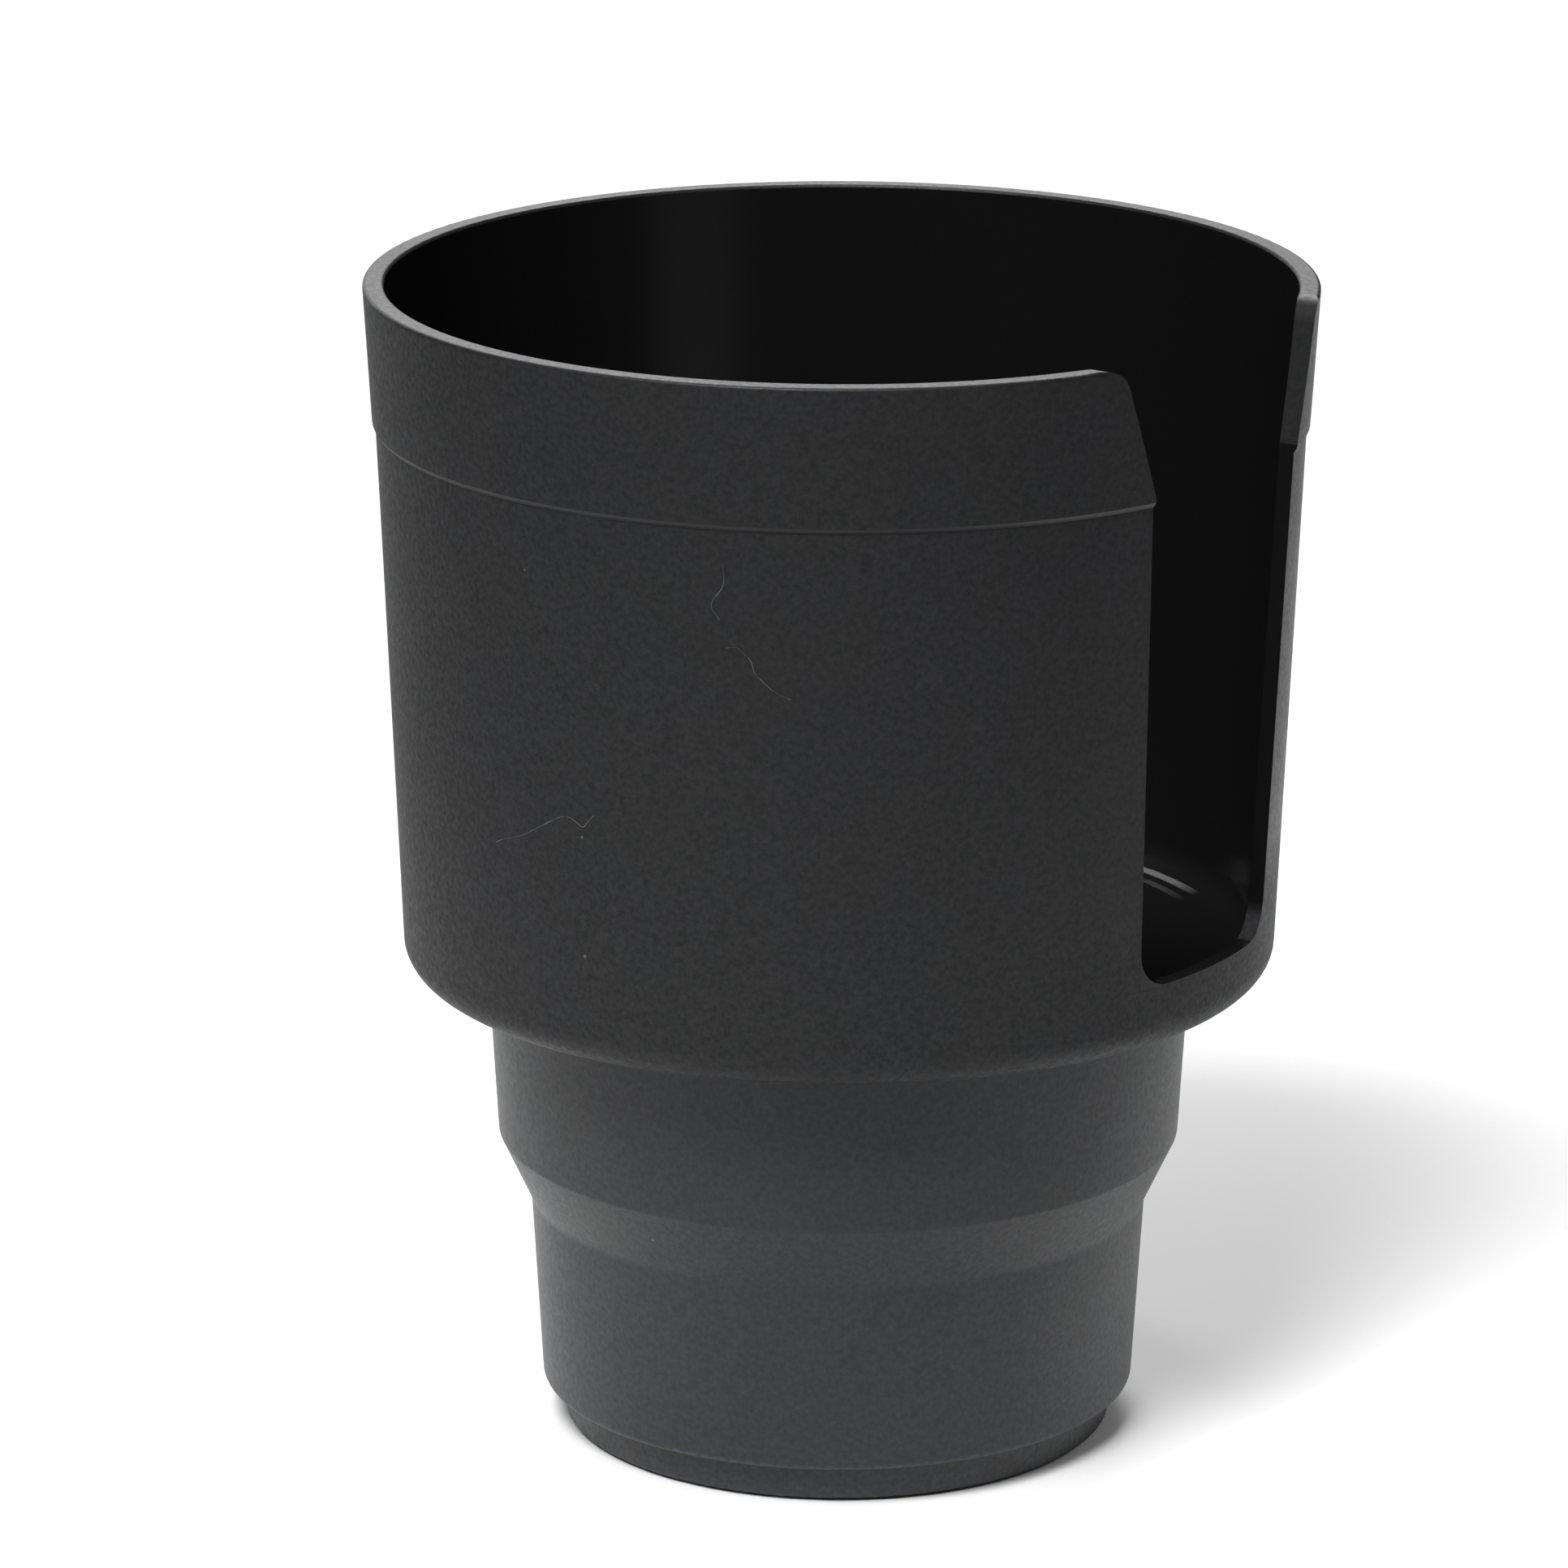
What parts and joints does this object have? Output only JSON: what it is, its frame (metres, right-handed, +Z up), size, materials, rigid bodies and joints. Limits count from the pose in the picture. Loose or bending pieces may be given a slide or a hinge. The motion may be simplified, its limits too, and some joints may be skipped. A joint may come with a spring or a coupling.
{
  "type": "cup holder expander",
  "caption": "Cup holder expander: a wide tapered cup with a collar band and a flared handle slot open at the rim, on a narrower stepped hollow base with a soft foot plug.",
  "frame": {"origin": "on the cup's axis, in the plane that the foot stands on", "axes": "+Z up along the axis towards the open rim, +X towards the handle slot"},
  "size_m": [0.103, 0.106, 0.1326],
  "materials": {
    "shell_plastic": "fine matte moulded black",
    "foot_rubber": "matte soft black"
  },
  "bodies": {
    "root": {"cup": "shell_plastic", "stepped_base": "shell_plastic", "foot_plug": "foot_rubber"}
  },
  "joints": []
}
